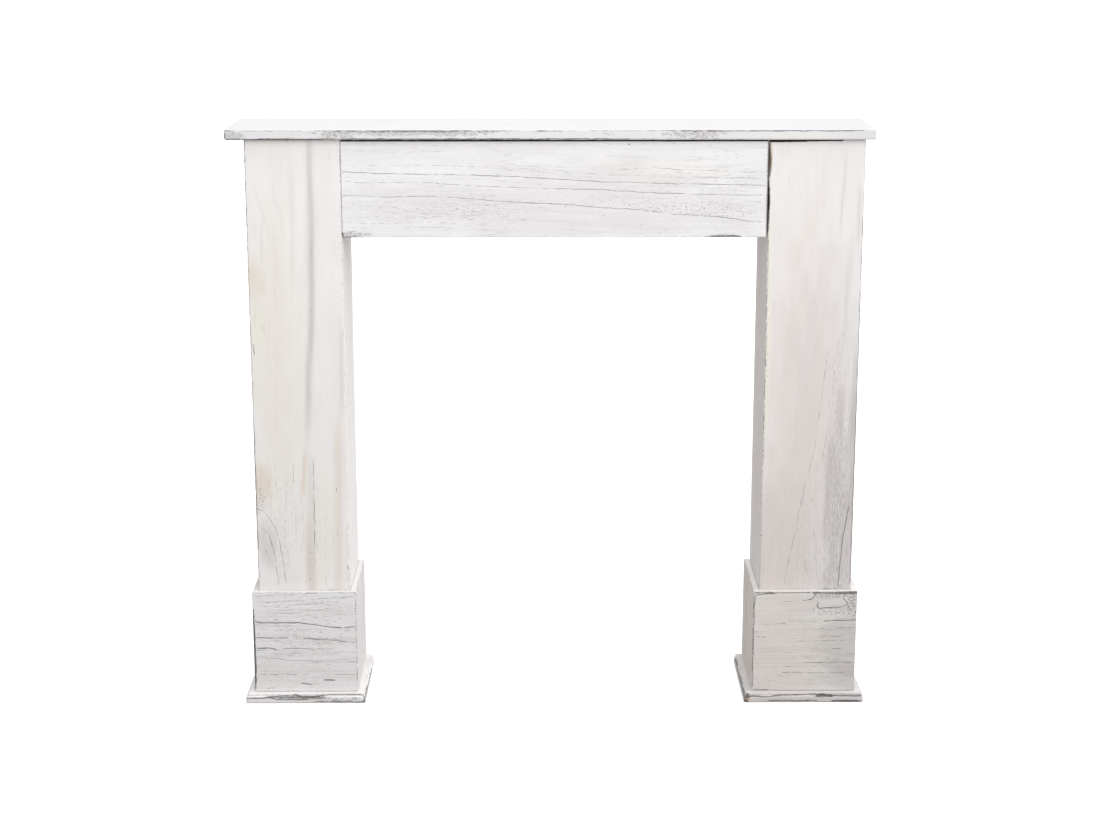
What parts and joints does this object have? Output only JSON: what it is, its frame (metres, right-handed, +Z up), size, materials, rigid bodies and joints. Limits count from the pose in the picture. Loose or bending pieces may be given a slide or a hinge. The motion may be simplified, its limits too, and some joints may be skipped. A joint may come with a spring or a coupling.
{
  "type": "fireplace mantelpiece",
  "caption": "Whitewashed timber fireplace surround: a thin shelf over a plain header board and hollow square posts on plinths with moulded base boards.",
  "frame": {"origin": "on the floor, in the middle of the space that the surround takes up", "axes": "+Z up, front towards -Y, wall side towards +Y, +X to the right seen from the front"},
  "size_m": [1.0092, 0.1732, 0.933],
  "materials": {
    "shelf": "whitewashed, rubbed through along its arrises",
    "header": "whitewashed, fine level grain",
    "post": "whitewashed, upright grain with grey and pinkish streaks",
    "plinth": "whitewashed, worn, with dark fine cracks",
    "base": "whitewashed, both moulded arrises worn to dark wood"
  },
  "bodies": {
    "root": {"shelf_board": "shelf", "header_board": "header", "post_front_board_left": "post", "post_inner_board_left": "post", "post_outer_board_left": "post", "post_front_board_right": "post", "post_inner_board_right": "post", "post_outer_board_right": "post", "plinth_front_board_left": "plinth", "plinth_inner_board_left": "plinth", "plinth_outer_board_left": "plinth", "plinth_front_board_right": "plinth", "plinth_inner_board_right": "plinth", "plinth_outer_board_right": "plinth", "base_board_left": "base", "base_board_right": "base"}
  },
  "joints": []
}
